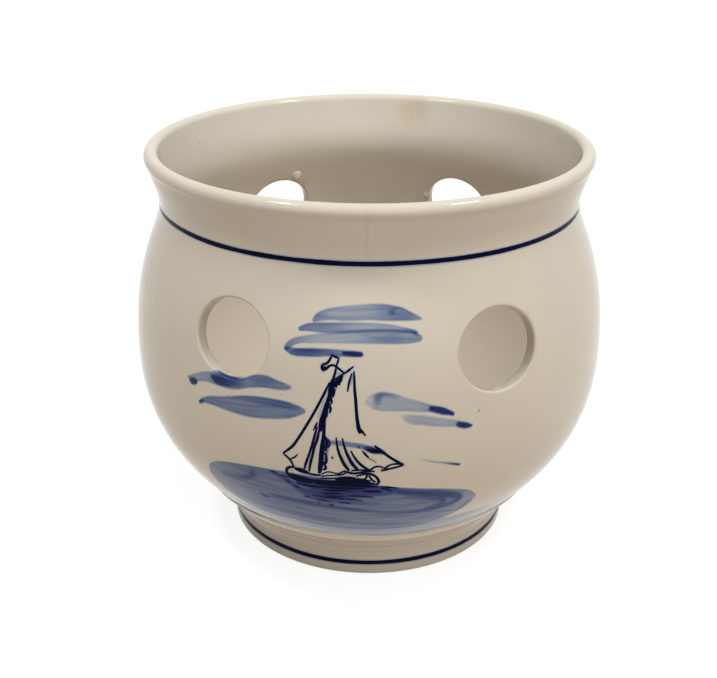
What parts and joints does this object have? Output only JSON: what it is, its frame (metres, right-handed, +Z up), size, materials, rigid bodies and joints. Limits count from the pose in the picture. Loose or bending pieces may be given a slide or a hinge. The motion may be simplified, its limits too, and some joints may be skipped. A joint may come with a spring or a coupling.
{
  "type": "pierced ceramic pot",
  "caption": "Round glazed earthenware pot: a globe-shaped belly pierced with a ring of round holes, a short tapered foot and a low flared collar with a rolled lip.",
  "frame": {"origin": "centre of the foot ring on the surface that the pot stands on", "axes": "+Z up along the pot's axis, -Y out of the painted front, +X to the right of someone who looks at the front"},
  "size_m": [0.14, 0.14, 0.1205],
  "materials": {
    "glaze": "glossy clear glaze over cream earthenware, painted with cobalt blue bands and washes"
  },
  "bodies": {
    "root": {"pot_body": "glaze"}
  },
  "joints": []
}
